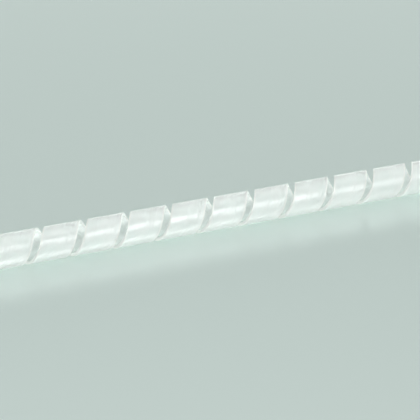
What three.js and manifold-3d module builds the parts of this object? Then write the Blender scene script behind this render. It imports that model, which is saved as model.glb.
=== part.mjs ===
// Spiral cable wrap: a tube of natural polyethylene, slit along a helix into one long springy strip.
// Millimetres. +X runs along the wrap and +Z is up. The origin is under its middle, on its underside.
import * as THREE from 'three';
import { mergeVertices } from 'three/addons/utils/BufferGeometryUtils.js';
import Module from 'manifold-3d';

// Sizes of the wrap
const WRAP_LENGTH = 1000;
const OUTER_DIAMETER = 10;
const WALL_THICKNESS = 1;
// The strip moves on by one pitch in each turn, and the slit is what stays open between two turns.
const PITCH = 12.9;
const SLIT_WIDTH = 2.2;
// The round tube is drawn with this many flats. One of them is always straight below the axis.
const FLATS_PER_TURN = 16;

// Natural polyethylene
const PLASTIC_COLOUR = 0xdce6e1;
const PLASTIC_ROUGHNESS = 0.4;

const wasm = await Module();
wasm.setup();

// Turns a closed geometry into a solid that can be cut.
function solidOf(geometry) {
  const bare = geometry.clone();
  bare.deleteAttribute('normal');
  bare.deleteAttribute('uv');
  const merged = mergeVertices(bare);
  return new wasm.Manifold(new wasm.Mesh({
    numProp: 3,
    vertProperties: new Float32Array(merged.getAttribute('position').array),
    triVerts: new Uint32Array(merged.getIndex().array),
  }));
}

// Turns a cut solid back into a geometry.
function geometryOf(solid) {
  const mesh = solid.getMesh();
  const geometry = new THREE.BufferGeometry();
  geometry.setAttribute('position', new THREE.BufferAttribute(mesh.vertProperties, mesh.numProp));
  geometry.setIndex(new THREE.BufferAttribute(mesh.triVerts, 1));
  geometry.computeVertexNormals();
  return geometry;
}

// The strip starts as a straight bar, one unit long for each flat: X goes across the strip,
// Y along it and Z through its wall. Each corner of the bar is then wound onto the helix.
// Seen along +X the strip winds anticlockwise, which makes it a left-handed helix.
function woundStrip() {
  const outerRadius = OUTER_DIAMETER / 2;
  const innerRadius = outerRadius - WALL_THICKNESS;
  const stripWidth = PITCH - SLIT_WIDTH;
  const flatAngle = 2 * Math.PI / FLATS_PER_TURN;
  // The middle of each flat lies on the true radius, so its corners stand out a little.
  const cornerFactor = 1 / Math.cos(flatAngle / 2);
  const turnsEachWay = (WRAP_LENGTH + stripWidth) / 2 / PITCH;
  const flatCount = 2 * Math.ceil(turnsEachWay * FLATS_PER_TURN) + 1;
  const geometry = new THREE.BoxGeometry(1, flatCount, 1, 1, flatCount, 1);
  const corners = geometry.getAttribute('position');
  for (let i = 0; i < corners.count; i += 1) {
    const flats = corners.getY(i);
    const angle = flats * flatAngle;
    const depth = 0.5 - corners.getZ(i);
    const radius = THREE.MathUtils.lerp(outerRadius, innerRadius, depth) * cornerFactor;
    corners.setXYZ(
      i,
      corners.getX(i) * stripWidth + flats / FLATS_PER_TURN * PITCH,
      -radius * Math.sin(angle),
      outerRadius - radius * Math.cos(angle),
    );
  }
  return geometry;
}

// The wound strip is longer than the wrap, and both ends are cut off square.
function spiralWrap() {
  const cutWidth = 2 * OUTER_DIAMETER;
  const keptLength = new THREE.BoxGeometry(WRAP_LENGTH, cutWidth, cutWidth);
  keptLength.translate(0, 0, OUTER_DIAMETER / 2);
  const geometry = geometryOf(solidOf(woundStrip()).intersect(solidOf(keptLength)));
  const material = new THREE.MeshStandardMaterial({
    color: PLASTIC_COLOUR,
    roughness: PLASTIC_ROUGHNESS,
    metalness: 0,
    flatShading: true,
  });
  const mesh = new THREE.Mesh(geometry, material);
  mesh.name = 'spiral_wrap';
  return mesh;
}

const wrap = new THREE.Group();
wrap.add(spiralWrap());

export default wrap;
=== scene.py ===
import math

import bpy
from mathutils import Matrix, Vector


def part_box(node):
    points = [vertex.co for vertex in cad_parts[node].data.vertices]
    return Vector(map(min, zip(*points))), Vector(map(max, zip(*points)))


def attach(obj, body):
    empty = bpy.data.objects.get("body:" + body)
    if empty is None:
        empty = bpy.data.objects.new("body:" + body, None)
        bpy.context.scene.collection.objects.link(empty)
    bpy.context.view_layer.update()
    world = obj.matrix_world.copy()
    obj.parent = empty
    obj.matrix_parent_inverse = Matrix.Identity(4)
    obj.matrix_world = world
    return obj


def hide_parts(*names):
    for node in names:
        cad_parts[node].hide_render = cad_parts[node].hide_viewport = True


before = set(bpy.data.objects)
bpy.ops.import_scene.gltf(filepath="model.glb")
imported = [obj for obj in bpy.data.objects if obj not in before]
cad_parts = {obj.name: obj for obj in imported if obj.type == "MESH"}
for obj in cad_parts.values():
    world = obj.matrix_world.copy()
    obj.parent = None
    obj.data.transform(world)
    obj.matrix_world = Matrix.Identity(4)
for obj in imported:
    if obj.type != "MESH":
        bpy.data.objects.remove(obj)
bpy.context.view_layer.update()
scene = bpy.context.scene


# The strip: one piece of uncoloured polyethylene, extruded as a tube and slit along a left-handed
# helix. It is swept here as a straight bar with rounded edges, and then wound onto the tube's
# radius. Whatever reaches past an end is pressed flat there, which leaves that end cut square.
PITCH = 0.0129
SLIT_WIDTH = 0.0022
WALL = 0.001
EDGE_RADIUS = 0.00012
EDGE_STEPS = 2
# Each edge has a band that carries a painted glow: its colour is painted lighter for the light of the wall
# that gathers there.
GLOW_WIDTH = 0.0004
STEPS_PER_TURN = 64
# The slit isn't perfectly even: each edge wanders within a band of this width. The two edges read
# the same noise far apart, so each wanders on its own.
EDGE_WANDER = 0.00009
WANDER_PER_METRE = 70.0
WANDER_APART = 40.0
# A point is on the skin if it lies this share of the wall from the wall's middle.
SKIN_SHARE = 0.4999
MERGE_DISTANCE = 2e-6
SHARP_EDGE_ANGLE = math.radians(50)

lowest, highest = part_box("spiral_wrap")
wrap_length = highest.x - lowest.x
outer_radius = (highest.z - lowest.z) / 2


def feed(tree, socket, value):
    """Gives a node's input a plain value, or links it to another node's output."""
    if isinstance(value, bpy.types.NodeSocket):
        tree.links.new(value, socket)
    else:
        socket.default_value = value


def add(tree, kind, inputs=None, **settings):
    """Adds a node, with its settings and what goes into its inputs, by name or by number."""
    node = tree.nodes.new(kind)
    for name, value in settings.items():
        setattr(node, name, value)
    for name, value in (inputs or {}).items():
        feed(tree, node.inputs[name], value)
    return node


def maths(tree, operation, *values):
    """A sum, product or other function of numbers and sockets."""
    node = add(tree, "ShaderNodeMath", dict(enumerate(values)), operation=operation)
    return node.outputs[0]


def vector(tree, x, y, z):
    """A vector from three numbers or sockets."""
    return add(tree, "ShaderNodeCombineXYZ", {"X": x, "Y": y, "Z": z}).outputs[0]


def parts_of(tree, place):
    """The X, Y and Z of a vector, as three sockets by name."""
    return add(tree, "ShaderNodeSeparateXYZ", {0: place}).outputs


def winding_tree(plastic, cut_edge):
    """Winds a flat strip into a tube, with its sizes as named inputs."""
    tree = bpy.data.node_groups.new("wound_strip", "GeometryNodeTree")
    for name in (
        "Length", "Outer Radius", "Wall", "Pitch", "Slit Width", "Edge Radius", "Edge Wander", "Glow Width",
    ):
        tree.interface.new_socket(name, in_out="INPUT", socket_type="NodeSocketFloat")
    for name in ("Edge Steps", "Steps per Turn"):
        tree.interface.new_socket(name, in_out="INPUT", socket_type="NodeSocketInt")
    tree.interface.new_socket("Strip", in_out="OUTPUT", socket_type="NodeSocketGeometry")
    size = add(tree, "NodeGroupInput").outputs

    # The straight bar: its middle line is as long as the wrap and one strip width more.
    strip_width = maths(tree, "SUBTRACT", size["Pitch"], size["Slit Width"])
    half_length = maths(tree, "MULTIPLY", size["Length"], 0.5)
    half_width = maths(tree, "MULTIPLY", strip_width, 0.5)
    reach = maths(tree, "ADD", half_length, half_width)
    turns = maths(tree, "DIVIDE", maths(tree, "MULTIPLY", reach, 2.0), size["Pitch"])
    steps = maths(tree, "CEIL", maths(tree, "MULTIPLY", turns, size["Steps per Turn"]))
    line = add(tree, "GeometryNodeCurvePrimitiveLine", {
        "Start": vector(tree, maths(tree, "MULTIPLY", reach, -1.0), 0.0, 0.0),
        "End": vector(tree, reach, 0.0, 0.0),
    })
    path = add(tree, "GeometryNodeResampleCurve", {"Curve": line.outputs[0], "Count": steps}, mode="COUNT")
    section = add(tree, "GeometryNodeCurvePrimitiveQuadrilateral", {
        "Width": strip_width, "Height": size["Wall"],
    })
    rounded = add(tree, "GeometryNodeFilletCurve", {
        "Curve": section.outputs[0], "Count": size["Edge Steps"], "Radius": size["Edge Radius"],
    }, mode="POLY")

    # The two long sides of the section get one point at the inner end of each band with the painted edge
    # glow.
    corner = parts_of(tree, add(tree, "GeometryNodeInputPosition").outputs[0])
    skin = maths(tree, "MULTIPLY", size["Wall"], SKIN_SHARE)
    on_skin = maths(tree, "GREATER_THAN", maths(tree, "ABSOLUTE", corner["Y"]), skin)
    leads_on = maths(tree, "GREATER_THAN", maths(tree, "MULTIPLY", corner["X"], corner["Y"]), 0.0)
    banded = add(tree, "GeometryNodeSubdivideCurve", {
        "Curve": rounded.outputs[0],
        "Cuts": maths(tree, "MULTIPLY", maths(tree, "MULTIPLY", on_skin, leads_on), 2.0),
    }).outputs[0]
    quarter_width = maths(tree, "MULTIPLY", half_width, 0.5)
    inner = maths(tree, "LESS_THAN", maths(tree, "ABSOLUTE", corner["X"]), quarter_width)
    band_end = maths(tree, "SUBTRACT", half_width, size["Glow Width"])
    spread = maths(tree, "MULTIPLY", maths(tree, "SIGN", corner["X"]), band_end)
    profile = add(tree, "GeometryNodeSetPosition", {
        "Geometry": banded, "Selection": inner, "Position": vector(tree, spread, corner["Y"], 0.0),
    }).outputs[0]
    bar = add(tree, "GeometryNodeCurveToMesh", {
        "Curve": path.outputs[0], "Profile Curve": profile, "Fill Caps": True,
    }).outputs[0]

    # Where each point of the bar is: along the strip, across it and through its wall.
    place = parts_of(tree, add(tree, "GeometryNodeInputPosition").outputs[0])
    along, across, through = place["X"], place["Y"], place["Z"]
    angle = maths(tree, "MULTIPLY", maths(tree, "DIVIDE", along, size["Pitch"]), math.tau)
    own_edge = maths(tree, "MULTIPLY", maths(tree, "SIGN", across), WANDER_APART)
    wander = add(tree, "ShaderNodeTexNoise", {
        "W": maths(tree, "ADD", maths(tree, "MULTIPLY", along, WANDER_PER_METRE), own_edge),
        "Scale": 1.0,
        "Detail": 1.0,
    }, noise_dimensions="1D").outputs["Fac"]
    shift = maths(tree, "MULTIPLY", maths(tree, "SUBTRACT", wander, 0.5), size["Edge Wander"])

    # The pattern on the surface follows the strip, so it is stored before the winding.
    around = maths(tree, "MULTIPLY", angle, size["Outer Radius"])
    marked = add(tree, "GeometryNodeStoreNamedAttribute", {
        "Geometry": bar, "Name": "strip", "Value": vector(tree, around, across, through),
    }, data_type="FLOAT_VECTOR", domain="POINT").outputs[0]

    # The winding.
    half_wall = maths(tree, "MULTIPLY", size["Wall"], 0.5)
    middle_radius = maths(tree, "SUBTRACT", size["Outer Radius"], half_wall)
    radius = maths(tree, "ADD", middle_radius, through)
    wanted = maths(tree, "ADD", maths(tree, "ADD", along, across), shift)
    start = maths(tree, "MULTIPLY", half_length, -1.0)
    kept = maths(tree, "MINIMUM", maths(tree, "MAXIMUM", wanted, start), half_length)
    sideways = maths(tree, "MULTIPLY", maths(tree, "MULTIPLY", radius, maths(tree, "SINE", angle)), -1.0)
    drop = maths(tree, "MULTIPLY", radius, maths(tree, "COSINE", angle))
    height = maths(tree, "SUBTRACT", size["Outer Radius"], drop)
    wound = add(tree, "GeometryNodeSetPosition", {
        "Geometry": marked, "Position": vector(tree, kept, sideways, height),
    }).outputs[0]
    closed = add(tree, "GeometryNodeMergeByDistance", {
        "Geometry": wound, "Distance": MERGE_DISTANCE,
    }).outputs[0]
    outward = add(tree, "GeometryNodeFlipFaces", {"Mesh": closed}).outputs[0]

    # The tube's own faces are smooth, and the cut faces meet the square ends at a sharp edge.
    smooth = add(tree, "GeometryNodeSetShadeSmooth", {
        "Geometry": outward, "Shade Smooth": True,
    }, domain="FACE").outputs[0]
    turn = add(tree, "GeometryNodeInputMeshEdgeAngle").outputs["Unsigned Angle"]
    creased = add(tree, "GeometryNodeSetShadeSmooth", {
        "Geometry": smooth,
        "Selection": maths(tree, "GREATER_THAN", turn, SHARP_EDGE_ANGLE),
        "Shade Smooth": False,
    }, domain="EDGE").outputs[0]

    # Each cut face is duller than the extruded skin.
    real = add(tree, "GeometryNodeRealizeInstances", {"Geometry": creased}).outputs[0]
    skinned = add(tree, "GeometryNodeSetMaterial", {"Geometry": real, "Material": plastic}).outputs[0]
    stored = add(tree, "GeometryNodeInputNamedAttribute", {"Name": "strip"}, data_type="FLOAT_VECTOR")
    from_middle = maths(tree, "ABSOLUTE", parts_of(tree, stored.outputs["Attribute"])["Y"])
    finished = add(tree, "GeometryNodeSetMaterial", {
        "Geometry": skinned,
        "Selection": maths(tree, "GREATER_THAN", from_middle, band_end),
        "Material": cut_edge,
    }).outputs[0]
    feed(tree, add(tree, "NodeGroupOutput").inputs[0], finished)
    return tree


# The plastic itself is clear but milky: light scatters in it over a few millimetres.
PLASTIC_IOR = 1.51
SURFACE_SHINE = 0.8
SCATTER_DISTANCE = 0.004
CLEAR_COLOUR = (0.88, 0.94, 0.915, 1.0)
MILKY_COLOUR = (0.935, 0.97, 0.953, 1.0)
CLOUDS_PER_METRE = 180.0
CLOUD_DETAIL = 2.0
# Light gathers at the edges of the strip, where a painted glow makes the colour lighter, and where the tube
# is seen edge-on, where sheen brightens it.
HALF_STRIP = (PITCH - SLIT_WIDTH) / 2
PAINTED_GLOW_START = HALF_STRIP - 2 * GLOW_WIDTH
PAINTED_EDGE_GLOW_COLOUR = (0.99, 0.99, 0.94, 1.0)
EDGE_ON_GLOW = 0.8
EDGE_ON_SPREAD = 0.45
GLOW_COLOUR = (0.92, 1.0, 0.95, 1.0)
# The extruded skin is smoother than the milky plastic under it.
SKIN_GLOSS = 0.8
SKIN_ROUGHNESS = 0.2
ROUGHNESS_SPREAD = 0.03
# The ripples and scratches: how many there are across the strip, and how often they change along it.
RIPPLES_PER_METRE = 1200.0
RIPPLE_CHANGES_PER_METRE = 40.0
RIPPLE_HEIGHT = 0.00025
FAINTEST_RIPPLE = 0.3
SCRATCHES_PER_METRE = 4500.0
SCRATCH_CHANGES_PER_METRE = 150.0
SCRATCH_LAYER = 7.0
SCRATCH_DEPTH = 0.02
# Soft noise lies between these two values nearly everywhere.
NOISE_LOW = 0.3
NOISE_HIGH = 0.7


def noise(tree, place, detail=1.0):
    """Soft random variation between 0 and 1, one patch for each unit of place."""
    node = add(tree, "ShaderNodeTexNoise", {"Vector": place, "Scale": 1.0, "Detail": detail})
    return node.outputs["Fac"]


def fade(tree, value, low, high, to_low, to_high):
    """Turns a value between low and high into one between to_low and to_high, without a hard step."""
    node = add(tree, "ShaderNodeMapRange", {
        "Value": value, "From Min": low, "From Max": high, "To Min": to_low, "To Max": to_high,
    }, interpolation_type="SMOOTHSTEP")
    return node.outputs["Result"]


def polyethylene(name, see_through, roughness, ripple):
    """Uncoloured polyethylene: milky and satin, with fine lines that run along the strip."""
    material = bpy.data.materials.new(name)
    material.use_nodes = True
    tree = material.node_tree
    shader = tree.nodes["Principled BSDF"]
    shader.inputs["IOR"].default_value = PLASTIC_IOR
    shader.inputs["Specular IOR Level"].default_value = SURFACE_SHINE
    shader.inputs["Transmission Weight"].default_value = see_through
    shader.inputs["Subsurface Weight"].default_value = 1.0
    shader.inputs["Subsurface Radius"].default_value = (1.0, 1.0, 1.0)
    shader.inputs["Subsurface Scale"].default_value = SCATTER_DISTANCE
    shader.inputs["Sheen Weight"].default_value = EDGE_ON_GLOW
    shader.inputs["Sheen Roughness"].default_value = EDGE_ON_SPREAD
    shader.inputs["Sheen Tint"].default_value = GLOW_COLOUR
    shader.inputs["Coat Weight"].default_value = SKIN_GLOSS
    shader.inputs["Coat Roughness"].default_value = SKIN_ROUGHNESS

    attribute = add(tree, "ShaderNodeAttribute", attribute_name="strip").outputs["Vector"]
    place = parts_of(tree, attribute)
    around, across = place["X"], place["Y"]
    from_middle = maths(tree, "ABSOLUTE", across)

    # The colour: milky clouds in the wall, and a painted glow that makes the edges lighter where light
    # gathers there.
    clouds = noise(tree, add(tree, "ShaderNodeMapping", {
        "Vector": attribute, "Scale": (CLOUDS_PER_METRE,) * 3,
    }).outputs[0], detail=CLOUD_DETAIL)
    painted_glow = fade(tree, from_middle, PAINTED_GLOW_START, HALF_STRIP, 0.0, 1.0)
    clouded = add(tree, "ShaderNodeMix", {
        0: fade(tree, clouds, NOISE_LOW, NOISE_HIGH, 0.0, 1.0), 6: CLEAR_COLOUR, 7: MILKY_COLOUR,
    }, data_type="RGBA").outputs[2]
    colour = add(tree, "ShaderNodeMix", {0: painted_glow, 6: clouded, 7: PAINTED_EDGE_GLOW_COLOUR}, data_type="RGBA").outputs[2]
    feed(tree, shader.inputs["Base Color"], colour)

    # The lines: ripples that break up the bright line along the tube, and fine scratches. The ripples
    # are deeper towards one edge of the strip.
    ripples = noise(tree, vector(
        tree,
        maths(tree, "MULTIPLY", around, RIPPLE_CHANGES_PER_METRE),
        maths(tree, "MULTIPLY", across, RIPPLES_PER_METRE),
        0.0,
    ))
    scratches = noise(tree, vector(
        tree,
        maths(tree, "MULTIPLY", around, SCRATCH_CHANGES_PER_METRE),
        maths(tree, "MULTIPLY", across, SCRATCHES_PER_METRE),
        SCRATCH_LAYER,
    ))
    relief = maths(tree, "ADD", ripples, maths(tree, "MULTIPLY", scratches, SCRATCH_DEPTH))
    bump = add(tree, "ShaderNodeBump", {
        "Height": relief,
        "Strength": fade(tree, across, -HALF_STRIP, HALF_STRIP, FAINTEST_RIPPLE * ripple, ripple),
        "Distance": RIPPLE_HEIGHT,
    }).outputs[0]
    feed(tree, shader.inputs["Normal"], bump)
    feed(tree, shader.inputs["Coat Normal"], bump)
    feed(tree, shader.inputs["Roughness"], fade(
        tree, scratches, NOISE_LOW, NOISE_HIGH, roughness - ROUGHNESS_SPREAD, roughness + ROUGHNESS_SPREAD,
    ))
    return material


plastic = polyethylene("milky_polyethylene", see_through=0.65, roughness=0.36, ripple=1.0)
cut_edge = polyethylene("cut_polyethylene", see_through=0.3, roughness=0.42, ripple=0.5)

strip = bpy.data.objects.new("wound_strip", bpy.data.meshes.new("wound_strip"))
scene.collection.objects.link(strip)
winding = strip.modifiers.new("winding", "NODES")
winding.node_group = winding_tree(plastic, cut_edge)
sizes = {
    "Length": wrap_length,
    "Outer Radius": outer_radius,
    "Wall": WALL,
    "Pitch": PITCH,
    "Slit Width": SLIT_WIDTH,
    "Edge Radius": EDGE_RADIUS,
    "Edge Wander": EDGE_WANDER,
    "Glow Width": GLOW_WIDTH,
    "Edge Steps": EDGE_STEPS,
    "Steps per Turn": STEPS_PER_TURN,
}
for item in winding.node_group.interface.items_tree:
    if item.in_out == "INPUT":
        winding[item.identifier] = sizes[item.name]
evaluated = strip.evaluated_get(bpy.context.evaluated_depsgraph_get())
strip.data = bpy.data.meshes.new_from_object(evaluated)
strip.modifiers.remove(winding)

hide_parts("spiral_wrap")
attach(strip, "root")


# The surface that the wrap lies on: a plain pale satin plate. It is glossy enough to show a soft
# mirror image of the wrap.
FLOOR_SIZE = 8.0
FLOOR_COLOUR = (0.63, 0.755, 0.715, 1.0)
FLOOR_ROUGHNESS = 0.28
FLOOR_IOR = 2.2
FLOOR_SHINE = 1.0

bpy.ops.mesh.primitive_plane_add(size=FLOOR_SIZE)
floor = bpy.context.object
floor.name = "floor"
floor_finish = bpy.data.materials.new("satin_plate")
floor_finish.use_nodes = True
floor_shader = floor_finish.node_tree.nodes["Principled BSDF"]
floor_shader.inputs["Base Color"].default_value = FLOOR_COLOUR
floor_shader.inputs["Roughness"].default_value = FLOOR_ROUGHNESS
floor_shader.inputs["IOR"].default_value = FLOOR_IOR
floor_shader.inputs["Specular IOR Level"].default_value = FLOOR_SHINE
floor.data.materials.append(floor_finish)


# The light: a soft lamp in front draws the bright line along the tube, and lights nothing else.
# Two fills, above and below, have no shadow and no mirror image: they stand for the light that
# gets into and under the tube through the plastic itself.
LAMP_DISTANCE = 1.6


def soft_lamp(name, width, depth, watts, side, height, shadow=True):
    """A rectangular lamp that points at the wrap's middle; side is 0 in front and 180 behind."""
    data = bpy.data.lights.new(name, "AREA")
    data.shape = "RECTANGLE"
    data.size = width
    data.size_y = depth
    data.energy = watts
    data.use_shadow = shadow
    data.cycles.use_multiple_importance_sampling = shadow
    lamp = bpy.data.objects.new(name, data)
    turn = math.radians(side)
    rise = math.radians(height)
    place = Vector((math.sin(turn) * math.cos(rise), -math.cos(turn) * math.cos(rise), math.sin(rise)))
    lamp.location = place * LAMP_DISTANCE
    lamp.rotation_euler = place.to_track_quat("Z", "Y").to_euler()
    lamp.visible_glossy = shadow
    scene.collection.objects.link(lamp)
    return lamp


front_lamp = soft_lamp("front_lamp", width=0.35, depth=0.9, watts=8.5, side=20, height=36)
lit_by_front_lamp = bpy.data.collections.new("lit_by_front_lamp")
lit_by_front_lamp.objects.link(strip)
front_lamp.light_linking.receiver_collection = lit_by_front_lamp
soft_lamp("top_fill", width=0.8, depth=0.8, watts=3.0, side=0, height=90, shadow=False)
soft_lamp("under_fill", width=0.8, depth=0.5, watts=12.0, side=0, height=-50, shadow=False)

# The room: how bright it is from the horizon (0) to straight up (1).
ROOM_LIGHT = ((0.0, 0.9), (0.3, 0.95), (0.45, 0.2), (0.6, 0.6), (0.8, 0.85), (1.0, 0.8))
ROOM_COLOUR = (0.97, 1.0, 0.985, 1.0)

room = bpy.data.worlds.new("room")
room.use_nodes = True
scene.world = room
background = room.node_tree.nodes["Background"]
background.inputs["Color"].default_value = ROOM_COLOUR
direction = add(room.node_tree, "ShaderNodeTexCoord").outputs["Generated"]
upward = parts_of(room.node_tree, direction)["Z"]
ramp = add(room.node_tree, "ShaderNodeValToRGB", {0: upward})
stops = ramp.color_ramp.elements
while len(stops) < len(ROOM_LIGHT):
    stops.new(1.0)
for stop, (place, light) in zip(stops, ROOM_LIGHT):
    stop.position = place
    stop.color = (light, light, light, 1.0)
feed(room.node_tree, background.inputs["Strength"], ramp.outputs[0])


# The camera stands low in front of the wrap and a little towards its left end.
CAMERA_SIDE = math.radians(-19.36)
CAMERA_HEIGHT = math.radians(30.5)
CAMERA_DISTANCE = 0.4508
CAMERA_LENS = 130.6
SENSOR_WIDTH = 36.0
NEAREST_SEEN = 0.01
FARTHEST_SEEN = 50.0
AIM = Vector((0.0, 0.0, 0.00648))

camera_data = bpy.data.cameras.new("camera")
camera_data.lens = CAMERA_LENS
camera_data.sensor_width = SENSOR_WIDTH
camera_data.clip_start = NEAREST_SEEN
camera_data.clip_end = FARTHEST_SEEN
camera = bpy.data.objects.new("camera", camera_data)
back = Vector((
    math.sin(CAMERA_SIDE) * math.cos(CAMERA_HEIGHT),
    -math.cos(CAMERA_SIDE) * math.cos(CAMERA_HEIGHT),
    math.sin(CAMERA_HEIGHT),
))
camera.location = AIM + back * CAMERA_DISTANCE
camera.rotation_euler = back.to_track_quat("Z", "Y").to_euler()
scene.collection.objects.link(camera)
scene.camera = camera
scene.view_settings.view_transform = "Standard"
